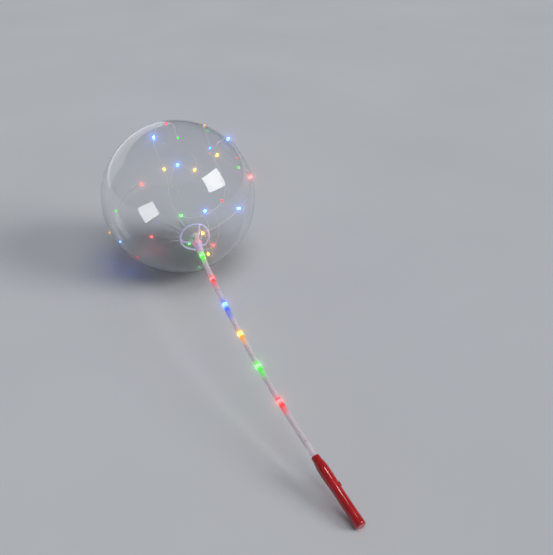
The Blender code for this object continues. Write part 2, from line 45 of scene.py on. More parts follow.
FIT_GAP, SEAT_GAP = 0.0003, 0.0004
BALLOON_RADIUS = 0.215
BALLOON_CENTRE = Vector((-0.43196, 0.00026, 0.2125))
PITCH, YAW, BEND_TURN = 5.5432, -6.1946, 50.0
RING_RADIUS, RING_BAR = 0.038, 0.0023
RING_X = math.sqrt((BALLOON_RADIUS + FIT_GAP + RING_BAR) ** 2 - RING_RADIUS**2)
RING_TILT = math.degrees(math.atan2(RING_RADIUS, RING_X))
SPOKE_RADIUS, SPOKE_FIRST = 0.0024, 20.0
HUB_DROP, HUB_RADIUS = 0.032, 0.0122
HUB_X = RING_X + HUB_DROP
HUB_TOP_X = HUB_X - HUB_RADIUS * 0.8
SOCKET_LENGTH, SOCKET_DEPTH, SOCKET_RADIUS = 0.040, 0.024, 0.0088
SOCKET_END_X = HUB_X + SOCKET_LENGTH
STICK_LENGTH, STICK_RADIUS, STICK_WALL, STICK_BOW = 0.700, 0.0060, 0.0010, 0.026
STICK_IN_HANDLE = 0.022
STICK_START = SOCKET_LENGTH - SOCKET_DEPTH + FIT_GAP
STICK_END = STICK_LENGTH + STICK_IN_HANDLE
BENT_LENGTH = STICK_LENGTH - SOCKET_LENGTH
BEND_RADIUS = BENT_LENGTH**2 / (8 * STICK_BOW)
HANDLE_LENGTH, HANDLE_WALL, HANDLE_TURN = 0.156, 0.0022, -112.0
HANDLE_WIDTH, HANDLE_THICKNESS, HANDLE_SHOULDER, HANDLE_NECK = 0.030, 0.0235, 0.030, 0.0085
END_ROUND, END_INSET = 0.004, 0.0035
COVER_START, COVER_LENGTH, COVER_WIDTH = 0.046, 0.094, 0.0205
SCREW_X = COVER_START + COVER_LENGTH - 0.008
SCREW_Z = -HANDLE_THICKNESS / 2 * 0.90 + 0.0002
SCREW_RADIUS, CROSS_REACH, CROSS_HALF = 0.0030, 0.0021, 0.00035
BUTTON_RADIUS, BUTTON_PROUD, BUTTON_X = 0.0050, 0.0018, HANDLE_LENGTH * 0.45
WIRE_HOLE_X = SOCKET_END_X - SOCKET_DEPTH - 0.0035
WIRE_HOLE_ANGLE, WIRE_HOLE_RADIUS = SPOKE_FIRST - 60.0, 0.0025
LIGHT_RADIUS, LIGHT_LENGTH = 0.0024, 0.0072
STRING_REACH = BALLOON_RADIUS + FIT_GAP + LIGHT_RADIUS
HOP_REACH = BALLOON_RADIUS + FIT_GAP + 2 * RING_BAR + 0.0012
STICK_LIGHT_FIRST, STICK_LIGHT_PITCH, STICK_LIGHT_COUNT = 0.060, 0.100, 6
COLOUR_ORDER = ("red", "green", "yellow", "blue")

# Each light on the balloon: its angle from the cup's axis and its angle round that axis
BALLOON_LIGHTS = (
    (20, 15), (17, -88), (6, 177), (6, -28), (39, -33), (71, -28), (63, -10), (62, 12), (93, -3),
    (113, -33), (125, 0), (96, 17), (66, 18), (32, -6), (19, 66), (52, 59), (81, 57), (97, 45),
    (74, 41), (47, 33), (52, 47), (52, 82), (61, 117), (82, 148), (93, 166), (116, -163), (110, -128),
)
# Places where the wire is led after some of those lights, counted from 0, with its lift off the balloon
WIRE_GUIDES = {2: (6.5, -105, 0.0), 3: (14.0, -30, 0.0026), 20: (40.0, 62, 0.0018)}

# The scene's own fine detail, in metres

FILM_THICKNESS, POLE_RADIUS, TIP_RADIUS = 0.0002, 0.0006, 0.0002
NECK_RADIUS, NECK_BULGE, NECK_MOUTH = 0.0034, 0.0012, 0.0125
FLARE_RADIUS, FLARE_DEPTH = 0.013, 0.0005
STRAND_RADIUS, STRAND_PITCH = 0.00030, 0.011
NECK_ROWS, BALL_ROWS, FILM_SIDES = 26, 110, 168
STICK_ROWS, STICK_SIDES, HANDLE_ROWS, HANDLE_SIDES = 150, 40, 70, 96

# Each colour as it leaves its chip, and how many times brighter than white it is there
HUES = {
    "red": (1.0, 0.010, 0.007),
    "green": (0.014, 1.0, 0.020),
    "yellow": (1.0, 0.42, 0.008),
    "blue": (0.006, 0.13, 1.0),
}
POWER = {"red": 50.0, "green": 30.0, "yellow": 42.0, "blue": 190.0}
# Lights that burn at their full power, and weak ones
FULL_LIGHTS = (4, 7, 11, 12, 13, 16, 24, 32, 33)
FAINT_LIGHTS = (14, 17, 18, 19, 20, 21, 25, 26, 30, 31)
# How far each light's painted glow reaches along the stick on both sides, and its share at places on the
# way
GLOW_BACK, GLOW_AHEAD = 0.016, 0.040
GLOW_SHARES = (
    (-0.60, 0.10), (-0.32, 0.50), (-0.18, 0.82), (0, 1.0), (0.09, 0.82), (0.30, 0.60), (0.60, 0.30),
)

# The studio: the floor's half width, the way to the softbox and the photograph's camera
FLOOR_REACH = 20
TO_SOFTBOX = Vector((0.542, 0.676, 0.500))
CAMERA_ELEVATION, CAMERA_AZIMUTH = 30.43, 66.53
CAMERA_PLACE = Vector((1.3979, -0.4933, 1.0507))
FOCAL_PIXELS, PHOTO_PIXELS, SENSOR_WIDTH = 721.1, 555.0, 36.0

rig = Matrix.Translation(BALLOON_CENTRE) @ Matrix.Rotation(math.radians(YAW), 4, "Z")
rig = rig @ Matrix.Rotation(math.radians(PITCH), 4, "Y") @ Matrix.Rotation(math.radians(BEND_TURN), 4, "X")


# Materials

def new_material(name):
    made = bpy.data.materials.new(name)
    made.use_nodes = True
    tree = made.node_tree
    return made, tree, tree.nodes["Principled BSDF"]


def node(tree, kind, **settings):
    made = tree.nodes.new(kind)
    for name, value in settings.items():
        setattr(made, name, value)
    return made


def noise(tree, scale, detail=3.0, stretch=None):
    """A noise texture, scaled in metres and, if asked, stretched along the object's axes."""
    where = node(tree, "ShaderNodeTexCoord")
    texture = node(tree, "ShaderNodeTexNoise")
    texture.inputs["Scale"].default_value = scale
    texture.inputs["Detail"].default_value = detail
    source = where.outputs["Object"]
    if stretch:
        mapping = node(tree, "ShaderNodeMapping")
        mapping.inputs["Scale"].default_value = stretch
        tree.links.new(source, mapping.inputs["Vector"])
        source = mapping.outputs["Vector"]
    tree.links.new(source, texture.inputs["Vector"])
    return texture.outputs["Fac"]


def spread(tree, value, low, high, start=0.3, end=0.7):
    """The value mapped from start..end to low..high."""
    made = node(tree, "ShaderNodeMapRange")
    for name, number in (("From Min", start), ("From Max", end), ("To Min", low), ("To Max", high)):
        made.inputs[name].default_value = number
    tree.links.new(value, made.inputs["Value"])
    return made.outputs["Result"]


def between(tree, factor, first, second):
    """A mix of two plain colours."""
    made = node(tree, "ShaderNodeMix", data_type="RGBA")
    made.inputs[6].default_value = (*first, 1.0)
    made.inputs[7].default_value = (*second, 1.0)
    tree.links.new(factor, made.inputs[0])
    return made.outputs[2]


def mix_over_base(tree, factor, colour):
    """Mix a plain colour over the shader's base colour."""
    base = tree.nodes["Principled BSDF"].inputs["Base Color"]
    made = node(tree, "ShaderNodeMix", data_type="RGBA")
    tree.links.new(factor, made.inputs[0])
    tree.links.new(base.links[0].from_socket, made.inputs[6])
    made.inputs[7].default_value = (*colour, 1.0)
    tree.links.new(made.outputs[2], base)


def point_value(tree, name):
    """A value that the mesh carries at each of its points."""
    return node(tree, "ShaderNodeAttribute", attribute_name=name).outputs["Fac"]


def bump(tree, height, strength, distance):
    made = node(tree, "ShaderNodeBump")
    made.inputs["Strength"].default_value = strength
    made.inputs["Distance"].default_value = distance
    tree.links.new(height, made.inputs["Height"])
    return made.outputs["Normal"]


def plastic(name, dark, light, rough, scale=60.0, grain=900.0, **plain):
    """A moulded plastic: two near colours in a soft cloud, uneven gloss and a fine surface grain."""
    made, tree, shader = new_material(name)
    cloud = spread(tree, noise(tree, scale), 0, 1)
    tree.links.new(between(tree, cloud, dark, light), shader.inputs["Base Color"])
    tree.links.new(spread(tree, noise(tree, scale * 4), *rough), shader.inputs["Roughness"])
    tree.links.new(bump(tree, noise(tree, grain, 2.0), 0.35, 0.00004), shader.inputs["Normal"])
    for label, value in plain.items():
        shader.inputs[label.replace("_", " ")].default_value = value
    return made


def film_material():
    """A thin clear film: see-through by plain values, with slow waves and fine creases by the neck."""
    made, tree, shader = new_material("clear_film")
    shader.inputs["Transmission Weight"].default_value = 1.0
    shader.inputs["IOR"].default_value = 1.50
    shader.inputs["Specular IOR Level"].default_value = 0.5
    tint = between(tree, spread(tree, noise(tree, 6.0), 0, 1), (0.965, 0.975, 0.985), (0.99, 0.995, 1.0))
    tree.links.new(tint, shader.inputs["Base Color"])
    tree.links.new(spread(tree, noise(tree, 25.0), 0.0, 0.035), shader.inputs["Roughness"])
    waves = node(tree, "ShaderNodeMath", operation="MULTIPLY")
    tree.links.new(noise(tree, 9.0, 1.0), waves.inputs[0])
    waves.inputs[1].default_value = 0.15
    both = node(tree, "ShaderNodeMath", operation="ADD")
    tree.links.new(point_value(tree, "crease"), both.inputs[0])
    tree.links.new(waves.outputs[0], both.inputs[1])
    tree.links.new(bump(tree, both.outputs[0], 0.5, 0.0025), shader.inputs["Normal"])
    return made


def neck_material():
    """The gathered film of the neck, whitish because it lies in many layers, with a faint painted greenish
    glow for the light that passes through it.
    """
    return plastic(
        "gathered_film", (0.58, 0.65, 0.62), (0.80, 0.86, 0.83), (0.16, 0.34),
        scale=160.0, Transmission_Weight=0.20, IOR=1.35,
        # A faint painted greenish glow, for light that passes through the layers
        Emission_Color=(0.72, 0.86, 0.80, 1.0), Emission_Strength=0.05,
    )


def painted_stick_glow(tree, along, number):
    """The colour and the amount of one light's painted glow, which fades along the tube to both sides."""
    at = STICK_LIGHT_FIRST + STICK_LIGHT_PITCH * (STICK_LIGHT_COUNT - 1 - number)
    hue = COLOUR_ORDER[number % len(COLOUR_ORDER)]
    reach = 1.5 if hue == "blue" else 1.0
    back, ahead = GLOW_BACK * reach, GLOW_AHEAD * reach
    fall = node(tree, "ShaderNodeValToRGB")
    fall.color_ramp.interpolation = "EASE"
    stops = fall.color_ramp.elements
    for end in stops:
        end.color = (0, 0, 0, 0)
    for place, share in GLOW_SHARES:
        away = place * (back if place < 0 else ahead)
        stop = stops.new((away + back) / (back + ahead))
        stop.color = (*(share * c for c in HUES[hue]), share)
    tree.links.new(spread(tree, along, 0.0, 1.0, at - back, at + ahead), fall.inputs["Fac"])
    return fall.outputs["Color"], fall.outputs["Alpha"]


def stick_material():
    """A frosted tube with a painted glow from each light in it, more so on the side towards the handle, its
    base colour darkened under that glow.
    """
    made = plastic(
        "frosted_plastic", (0.80, 0.76, 0.79), (0.89, 0.85, 0.88), (0.24, 0.40),
        scale=25.0, grain=1400.0, Transmission_Weight=0.42, IOR=1.45, Subsurface_Weight=0.10,
    )
    tree = made.node_tree
    shader = tree.nodes["Principled BSDF"]
    along = point_value(tree, "along")
    colours = amounts = None
    for number in range(STICK_LIGHT_COUNT):
        colour, amount = painted_stick_glow(tree, along, number)
        colours = added(tree, colours, colour)
        amounts = summed(tree, amounts, amount)
    # The base colour is darkened to near black where the lights' painted glow is strong
    mix_over_base(tree, spread(tree, amounts, 0.0, 1.0, 0.0, 0.6), (0.02, 0.02, 0.02))
    # The lights' painted glow, over a faint painted glow along the whole tube
    tree.links.new(colours, shader.inputs["Emission Color"])
    tree.links.new(spread(tree, amounts, 1.0, 6.0, 0.60, 1.0), shader.inputs["Emission Strength"])
    return made


def added(tree, total, colour):
    """The sum of two colours; the first one starts from a faint painted glow along the whole tube."""
    made = node(tree, "ShaderNodeMix", data_type="RGBA", blend_type="ADD")
    made.inputs[0].default_value = 1.0
    if total is None:
        # A faint painted glow along the whole tube
        made.inputs[6].default_value = (0.060, 0.045, 0.053, 1)
    else:
        tree.links.new(total, made.inputs[6])
    tree.links.new(colour, made.inputs[7])
    return made.outputs[2]


def summed(tree, total, value):
    """The sum of two values, or the second alone."""
    if total is None:
        return value
    made = node(tree, "ShaderNodeMath", operation="ADD", use_clamp=True)
    tree.links.new(total, made.inputs[0])
    tree.links.new(value, made.inputs[1])
    return made.outputs[0]


def cup_material():
    """Milky plastic with a lilac cast and a faint painted glow, both pinker at the hub: painted light,
    where the string's light comes through.
    """
    made = plastic(
        "milky_plastic", (0.60, 0.53, 0.80), (0.74, 0.67, 0.90), (0.22, 0.36),
        # Emission here is a faint painted glow over the whole cup
        Subsurface_Weight=0.25, IOR=1.46, Emission_Strength=0.16,
    )
    tree = made.node_tree
    hub = point_value(tree, "hub")
    # Painted light: the base colour and the painted glow turn pink near the hub
    mix_over_base(tree, hub, (0.86, 0.50, 0.64))
    glow = between(tree, hub, (0.42, 0.32, 0.80), (0.90, 0.34, 0.50))
    tree.links.new(glow, tree.nodes["Principled BSDF"].inputs["Emission Color"])
    return made


def light_material(colour):
    """A drop of clear resin, lit from the chip in its middle."""
    made, tree, shader = new_material(f"light_{colour}")
    rgb = HUES[colour]
    tint = tuple(0.3 + 0.7 * c for c in rgb)
    glow = spread(tree, point_value(tree, "core"), 0.3, POWER[colour], 0.0, 1.0)
    tree.links.new(between(tree, noise(tree, 500.0), rgb, tint), shader.inputs["Base Color"])
    tree.links.new(glow, shader.inputs["Emission Strength"])
    shader.inputs["Emission Color"].default_value = (*rgb, 1)
    shader.inputs["Roughness"].default_value = 0.08
    shader.inputs["Coat Weight"].default_value = 0.6
    return made


def wire_material():
    """Fine lacquered wire, bright silver with a slightly uneven tone along it."""
    made, tree, shader = new_material("silver_wire")
    tone = between(tree, spread(tree, noise(tree, 120.0), 0, 1), (0.90, 0.89, 0.88), (1.0, 0.99, 0.98))
    tree.links.new(tone, shader.inputs["Base Color"])
    tree.links.new(spread(tree, noise(tree, 300.0), 0.26, 0.42), shader.inputs["Roughness"])
    shader.inputs["Metallic"].default_value = 0.2
    return made


def steel_material():
    """Plain steel, brushed one way."""
    made, tree, shader = new_material("screw_steel")
    tone = between(tree, spread(tree, noise(tree, 700.0), 0, 1), (0.45, 0.45, 0.46), (0.70, 0.70, 0.71))
    tree.links.new(tone, shader.inputs["Base Color"])
    brushed = noise(tree, 900.0, stretch=(1, 6, 1))
    tree.links.new(spread(tree, brushed, 0.22, 0.45), shader.inputs["Roughness"])
    shader.inputs["Metallic"].default_value = 1.0
    return made


# Mesh making

def finish_piece(obj, mat, replaced, smooth):
    """One material, smooth faces with edges sharp past an angle, and the piece's place in the part."""
    obj.data.materials.clear()
    obj.data.materials.append(mat)
    obj.data.shade_smooth()
    obj.data.set_sharp_from_angle(angle=math.radians(smooth))
    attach(obj, "root")
    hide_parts(replaced)


def link(name, data):
    """A new object in the scene, with its mesh, light or camera."""
    obj = bpy.data.objects.new(name, data)
    bpy.context.scene.collection.objects.link(obj)
    return obj


def grid_mesh(name, rows, loop=False):
    """A mesh through rows of points, each row a closed ring: capped at both ends, or closed in a loop."""
    count, sides = len(rows), len(rows[0])
    faces = []
    for r in range(count if loop else count - 1):
        after = (r + 1) % count
        for i in range(sides):
            j = (i + 1) % sides
            faces.append((r * sides + i, r * sides + j, after * sides + j, after * sides + i))
    if not loop:
        faces.append(tuple(reversed(range(sides))))
        faces.append(tuple(range((count - 1) * sides, count * sides)))
    mesh = bpy.data.meshes.new(name)
    mesh.from_pydata([tuple(point) for row in rows for point in row], [], faces)
    bm = bmesh.new()
    bm.from_mesh(mesh)
    bmesh.ops.recalc_face_normals(bm, faces=bm.faces)
    bm.to_mesh(mesh)
    bm.free()
    return mesh


def frames_along(points):
    """The points of a path as an array, with a steady pair of cross directions at each."""
    points = np.asarray(points, float)
    ahead = np.gradient(points, axis=0)
    ahead /= np.linalg.norm(ahead, axis=1)[:, None]
    side = np.cross(ahead[0], [0.0, 0.0, 1.0])
    side /= np.linalg.norm(side)
    sides = []
    for heading in ahead:
        side = side - heading * side.dot(heading)
        side /= np.linalg.norm(side)
        sides.append(side)
    sides = np.array(sides)
    return points, sides, np.cross(ahead, sides)


def turns(count):
    """Evenly spaced angles round a circle."""
    return np.linspace(0, math.tau, count, endpoint=False)


def quarter_turn():
    """The angles of a rounded edge."""
    return np.radians(np.linspace(0, 90, 9))


def sweep_rows(points, radius, sides):
    """Rings of points round a path."""
    turn = turns(sides)
    return [
        p + radius * (np.outer(np.cos(turn), s) + np.outer(np.sin(turn), u))
        for p, s, u in zip(*frames_along(points))
    ]


def sweep(name, points, radius, sides=16):
    """A round bar along a path."""
    return grid_mesh(name, sweep_rows(points, radius, sides))


def lathe(name, profile, sides):
    """A profile of (x, radius) turned about the X axis."""
    rows = [[(x, r * math.cos(t), r * math.sin(t)) for t in turns(sides)] for x, r in profile]
    return grid_mesh(name, rows)


def stood(mesh, place, degrees):
    """The mesh turned about the Y axis and moved to a place."""
    mesh.transform(Matrix.Translation(place) @ Matrix.Rotation(math.radians(degrees), 4, "Y"))
    return mesh


def modified(obj, kind, **settings):
    """Give the object a modifier."""
    made = obj.modifiers.new(kind.lower(), kind)
    for name, value in settings.items():
        setattr(made, name, value)


def baked(obj):
    """Apply the object's modifiers."""
    bpy.context.view_layer.update()
    graph = bpy.context.evaluated_depsgraph_get()
    mesh = bpy.data.meshes.new_from_object(obj.evaluated_get(graph))
    obj.modifiers.clear()
    obj.data = mesh


def set_attribute(mesh, name, values):
    attribute = mesh.attributes.new(name, "FLOAT", "POINT")
    attribute.data.foreach_set("value", np.asarray(values, np.float32))


def box_object(name, low, high):
    low, high = Vector(low), Vector(high)
    mesh = bpy.data.meshes.new(name)
    bm = bmesh.new()
    bmesh.ops.create_cube(bm, size=1.0)
    bm.to_mesh(mesh)
    bm.free()
    mesh.transform(Matrix.Translation((low + high) / 2) @ Matrix.Diagonal((*(high - low), 1.0)))
    return link(name, mesh)


def cut(obj, tool, operation="DIFFERENCE"):
    """Cut the object by a tool, which is used up."""
    modified(obj, "BOOLEAN", operation=operation, object=tool)
    baked(obj)
    bpy.data.objects.remove(tool)


def hermite(first, second, leaving, arriving, t):
    """A point on the smooth curve between two places, which leaves and arrives at the given slopes."""
    a, b = 2 * t**3 - 3 * t**2 + 1, t**3 - 2 * t**2 + t
    c, d = -2 * t**3 + 3 * t**2, t**3 - t**2
    return a * first + b * leaving + c * second + d * arriving


# The part's own geometry, repeated

def stick_frame(along):
    """The stick's frame at a length from the hub's centre: straight, bent, then straight again."""
    bent = min(max(along - SOCKET_LENGTH, 0.0), BENT_LENGTH)
    angle = bent / BEND_RADIUS
    sine, cosine = math.sin(angle), math.cos(angle)
    place = Vector((SOCKET_END_X + BEND_RADIUS * sine, 0.0, -BEND_RADIUS * (1 - cosine)))
    place += Vector((cosine, 0.0, -sine)) * (along - SOCKET_LENGTH - bent)
    return Matrix.Translation(place) @ Matrix.Rotation(angle, 4, "Y")


def round_axis(along, radius, degrees):
    """A place by its length along the cup's axis, its distance from the axis and its angle round it."""
    turn = math.radians(degrees)
    return Vector((along, radius * math.cos(turn), radius * math.sin(turn)))


handle_rig = rig @ stick_frame(STICK_LENGTH) @ Matrix.Rotation(math.radians(HANDLE_TURN), 4, "X")


# The balloon, the cup and the stick

def film_profile():
    """The film's (x, radius, t), with t from 0 to 1 along the neck and from 1 to 2 round the ball."""
    flare = math.asin(FLARE_RADIUS / BALLOON_RADIUS)
    neck_end = HUB_TOP_X - SEAT_GAP
    neck_length = BALLOON_RADIUS * math.cos(flare) - FLARE_DEPTH - neck_end
    profile = []
    for t in np.linspace(0, 1, NECK_ROWS):
        radius = NECK_RADIUS + NECK_BULGE * math.sin(math.pi * t) + (NECK_MOUTH - NECK_RADIUS) * t**4
        profile.append((neck_end + neck_length * t, radius, t))
    for t in np.linspace(0, 1, BALL_ROWS + 1)[1:]:
        angle = flare + (math.pi - flare) * t
        profile.append((BALLOON_RADIUS * math.cos(angle), BALLOON_RADIUS * math.sin(angle), 1 + t))
    profile[-1] = (-BALLOON_RADIUS, POLE_RADIUS, 2.0)
    return profile


def make_balloon(mat, neck_mat):
    """The film: a ball gathered in fine pleats into a neck that reaches the cup's hub."""
    rows, crease = [], []
    for x, radius, t in film_profile():
        depth = 0.16 * (1 - t) ** 0.5 + 0.05 if t < 1 else 0.0
        fade = max(0.0, 1.0 - (t - 1) / 0.22) ** 2 if t >= 1 else 1.0
        row = []
        for turn in turns(FILM_SIDES):
            fold = 0.6 * math.cos(21 * turn + 0.8 * math.sin(3 * turn)) + 0.4 * math.cos(34 * turn + 1.3)
            r = radius * (1 + depth * fold)
            row.append((x, r * math.cos(turn), r * math.sin(turn)))
            crease.append(0.32 * fold * fade * (0.6 + 0.4 * math.sin(5 * turn + 1)))
        rows.append(row)
    mesh = grid_mesh("balloon_film", rows)
    set_attribute(mesh, "crease", crease)
    mesh.transform(rig)
    for vertex in mesh.vertices:
        vertex.co.z = max(vertex.co.z, FILM_THICKNESS)
    obj = link("balloon_film", mesh)
    modified(obj, "SOLIDIFY", thickness=FILM_THICKNESS, offset=-1.0)
    baked(obj)
    finish_piece(obj, mat, "balloon", 80.0)
    obj.data.materials.append(neck_mat)
    into_axis = rig.inverted()
    for face in obj.data.polygons:
        if (into_axis @ face.center).x > BALLOON_RADIUS - FLARE_DEPTH:
            face.material_index = 1


def make_cup(mat):
    """The ring, its spokes and the hub, melted into one moulding."""
    hub = link("hub", hub_mesh())
    passage = [(WIRE_HOLE_X - 0.001, 0, 0), (SOCKET_END_X - 0.02, 0, 0)]
    way_out = [(WIRE_HOLE_X, 0, 0), round_axis(WIRE_HOLE_X, HUB_RADIUS * 2, WIRE_HOLE_ANGLE)]
    for name, path in (("passage", passage), ("way_out", way_out)):
        cut(hub, link(name, sweep(name, path, WIRE_HOLE_RADIUS)))
    obj = joined("cup_moulding", [torus_mesh(), *spoke_meshes(), hub.data])
    bpy.data.objects.remove(hub)
    modified(obj, "REMESH", mode="VOXEL", voxel_size=0.00055)
    modified(obj, "SMOOTH", factor=0.5, iterations=5)
    baked(obj)
    # How near each point is to the hub's ball, at least 0.4 on the socket: the mask of the cup's painted
    # pink light
    points = np.empty(len(obj.data.vertices) * 3)
    obj.data.vertices.foreach_get("co", points)
    x, y, z = points.reshape(-1, 3).T
    away = np.sqrt((x - HUB_X) ** 2 + y**2 + z**2)
    least = np.where(x > HUB_X, 0.4, 0.0)
    set_attribute(obj.data, "hub", np.clip(1.0 - (away - HUB_RADIUS) / 0.007, least, 1.0))
    obj.data.transform(rig)
    finish_piece(obj, mat, "balloon_cup", 80.0)


def joined(name, meshes):
    """One object from several meshes."""
    bm = bmesh.new()
    for mesh in meshes:
        bm.from_mesh(mesh)
    whole = bpy.data.meshes.new(name)
    bm.to_mesh(whole)
    bm.free()
    return link(name, whole)


def torus_mesh():
    rows = []
    for a in turns(120):
        row = []
        for b in turns(18):
            r = RING_RADIUS + RING_BAR * math.cos(b)
            row.append((RING_X + RING_BAR * math.sin(b), r * math.cos(a), r * math.sin(a)))
        rows.append(row)
    return grid_mesh("ring", rows, loop=True)


def spoke_meshes():
    made = []
    for number in range(3):
        angle = SPOKE_FIRST + 120.0 * number
        stops = [
            round_axis(RING_X, RING_RADIUS, angle),
            round_axis(RING_X + HUB_DROP * 0.42, RING_RADIUS * 0.66, angle),
            round_axis(RING_X + HUB_DROP * 0.80, RING_RADIUS * 0.32, angle),
            round_axis(HUB_X, HUB_RADIUS * 0.45, angle),
        ]
        made.append(sweep("spoke", smooth_path(stops, 0.002), SPOKE_RADIUS * 0.95, 14))
    return made


def hub_mesh():
    """The hub's ball on its straight socket, with the stick's bore."""
    inner = STICK_RADIUS + SEAT_GAP
    floor = SOCKET_END_X - SOCKET_DEPTH
    profile = [
        (floor, TIP_RADIUS),
        (floor, inner),
        (SOCKET_END_X, inner),
        (SOCKET_END_X, SOCKET_RADIUS - 0.0004),
        (SOCKET_END_X - 0.0010, SOCKET_RADIUS),
        (HUB_X + HUB_RADIUS * 0.85, SOCKET_RADIUS),
    ]
    ball = ((0.68, 0.76), (0.50, 0.88), (0.27, 0.97), (0.0, 1.0), (-0.30, 0.94), (-0.60, 0.76))
    profile += [(HUB_X + HUB_RADIUS * along, HUB_RADIUS * wide) for along, wide in ball]
    profile += [(HUB_TOP_X, HUB_RADIUS * 0.50), (HUB_TOP_X, TIP_RADIUS)]
    return lathe("hub", profile, 48)


def smooth_path(stops, step):
    """Points about a step apart on a smooth curve through the stops."""
    stops = np.array([tuple(stop) for stop in stops])
    gaps = np.linalg.norm(np.diff(stops, axis=0), axis=1)[:, None]
    slopes = np.diff(stops, axis=0) / gaps
    middle = (slopes[:-1] * gaps[1:] + slopes[1:] * gaps[:-1]) / (gaps[:-1] + gaps[1:])
    tangents = np.vstack([slopes[:1], middle, slopes[-1:]])
    points = []
    for k, gap in enumerate(gaps[:, 0]):
        count = max(2, round(gap / step))
        for t in np.arange(count) / count:
            points.append(hermite(stops[k], stops[k + 1], gap * tangents[k], gap * tangents[k + 1], t))
    return np.array([*points, stops[-1]])


def make_stick(mat):
    """The bent tube: rings along its outer wall and back along its bore."""
    along = np.linspace(STICK_START, STICK_END, STICK_ROWS)
    points = [stick_frame(length).translation for length in along]
    outer = sweep_rows(points, STICK_RADIUS, STICK_SIDES)
    inner = sweep_rows(points, STICK_RADIUS - STICK_WALL, STICK_SIDES)
    mesh = grid_mesh("stick_frosted", outer + inner[::-1], loop=True)
    set_attribute(mesh, "along", np.repeat([*along, *along[::-1]], STICK_SIDES))
    mesh.transform(rig)
    finish_piece(link("stick_frosted", mesh), mat, "stick_tube", 60.0)


# The handle

def handle_sections():
    """The handle's (x, half width, half thickness), from its neck to the edge of its far end."""
    width, thick, neck, waist = HANDLE_WIDTH / 2, HANDLE_THICKNESS / 2, HANDLE_NECK, 0.90
    grow = [(0.0, 0.0), (0.22, 0.10), (0.52, 0.52), (0.80, 0.88)]
    shape = [(HANDLE_SHOULDER * s, neck + (width - neck) * g, neck + (thick - neck) * g) for s, g in grow]
    shape += [
        (HANDLE_SHOULDER * 1.10, width, thick),
        (HANDLE_SHOULDER * 1.70, width * 0.985, thick * 0.985),
        (HANDLE_LENGTH * 0.50, width * waist, thick * waist),
        (HANDLE_LENGTH * 0.80, width * waist, thick * waist),
        (HANDLE_LENGTH - END_ROUND, width * (waist + 0.03), thick * (waist + 0.03)),
    ]
    return shape


def handle_mesh(name):
    """The handle's outer shape, with its far edge rounded."""
    xs, widths, depths = (np.array(column) for column in zip(*handle_sections()))
    fine = np.linspace(0.0, xs[-1], HANDLE_ROWS)
    sections = list(zip(fine, monotone(xs, widths, fine), monotone(xs, depths, fine)))
    for angle in quarter_turn()[1:]:
        back = END_INSET * (1 - math.cos(angle))
        sections.append((xs[-1] + END_ROUND * math.sin(angle), widths[-1] - back, depths[-1] - back))
    around = turns(HANDLE_SIDES)
    rows = [[(x, w * math.cos(a), d * math.sin(a)) for a in around] for x, w, d in sections]
    return grid_mesh(name, rows)


def monotone(xs, ys, at):
    """A smooth curve through the points that never overshoots them."""
    slope = np.diff(ys) / np.diff(xs)
    tangent = np.zeros_like(ys)
    for i in range(1, len(ys) - 1):
        if slope[i - 1] * slope[i] > 0:
            tangent[i] = 2 / (1 / slope[i - 1] + 1 / slope[i])
    out = []
    for x in at:
        k = min(max(int(np.searchsorted(xs, x)) - 1, 0), len(xs) - 2)
        run = xs[k + 1] - xs[k]
        out.append(hermite(ys[k], ys[k + 1], run * tangent[k], run * tangent[k + 1], (x - xs[k]) / run))
    return out


def cover_block(name, gap):
    """The block that the battery cover fills, made smaller by a gap all round."""
    half = COVER_WIDTH / 2 - gap
    return box_object(
        name,
        (COVER_START + gap, -half, -HANDLE_THICKNESS),
        (COVER_START + COVER_LENGTH - gap, half, -HANDLE_THICKNESS * 0.20 - gap),
    )


def make_body(mat):
    """The handle's shell, with the cover's window, the stick's bore and the button's seat."""
    body = link("handle_shell", handle_mesh("handle_shell"))
    cut(body, cover_block("window", 0.0))
    bore, seat = STICK_RADIUS + FIT_GAP, BUTTON_RADIUS + SEAT_GAP
    cut(body, link("neck_bore", lathe("neck_bore", [(-0.01, bore), (STICK_IN_HANDLE, bore)], 40)))
    seat_mesh = lathe("seat", [(0.0, seat), (0.02, seat)], 48)
    cut(body, link("seat", stood(seat_mesh, (BUTTON_X, 0, HANDLE_THICKNESS * 0.25), -90)))
    modified(body, "BEVEL", width=0.0004, segments=2, limit_method="ANGLE", angle_limit=math.radians(50))
    baked(body)
    body.data.transform(handle_rig)
    for vertex in body.data.vertices:
        vertex.co.z = max(vertex.co.z, 0.0)
    finish_piece(body, mat, "handle_body", 30.0)


def make_cover(mat):
    """The battery cover, a plate of the handle's own outline with the screw's hole."""
    cover = link("cover_panel", handle_mesh("cover_panel"))
    core = link("core", handle_mesh("core"))
    core.data.transform(Matrix.Diagonal((1.0, 0.86, 0.80, 1.0)))
    cut(cover, core)
    cut(cover, cover_block("outline", FIT_GAP), "INTERSECT")
    sink = lathe("sink", [(0.0, SCREW_RADIUS + FIT_GAP), (0.011, SCREW_RADIUS + FIT_GAP)], 36)
    cut(cover, link("sink", stood(sink, (SCREW_X, 0, SCREW_Z + 0.0012), 90)))
    cover.data.transform(handle_rig)
    finish_piece(cover, mat, "battery_cover", 30.0)


def make_screw(mat):
    """The screw's head, with its cross."""
    profile = [(0.0, SCREW_RADIUS), (0.0007, SCREW_RADIUS), (0.0009, SCREW_RADIUS * 0.9), (0.0011, 0.0001)]
    screw = link("screw_head", stood(lathe("screw", profile, 36), (SCREW_X, 0, SCREW_Z + 0.0009), 90))
    for reach, half in ((CROSS_REACH, CROSS_HALF), (CROSS_HALF, CROSS_REACH)):
        low = (SCREW_X - reach, -half, SCREW_Z - 0.001)
        cut(screw, box_object("slot", low, (SCREW_X + reach, half, SCREW_Z + 0.0004)))
    screw.data.transform(handle_rig)
    finish_piece(screw, mat, "cover_screw", 30.0)


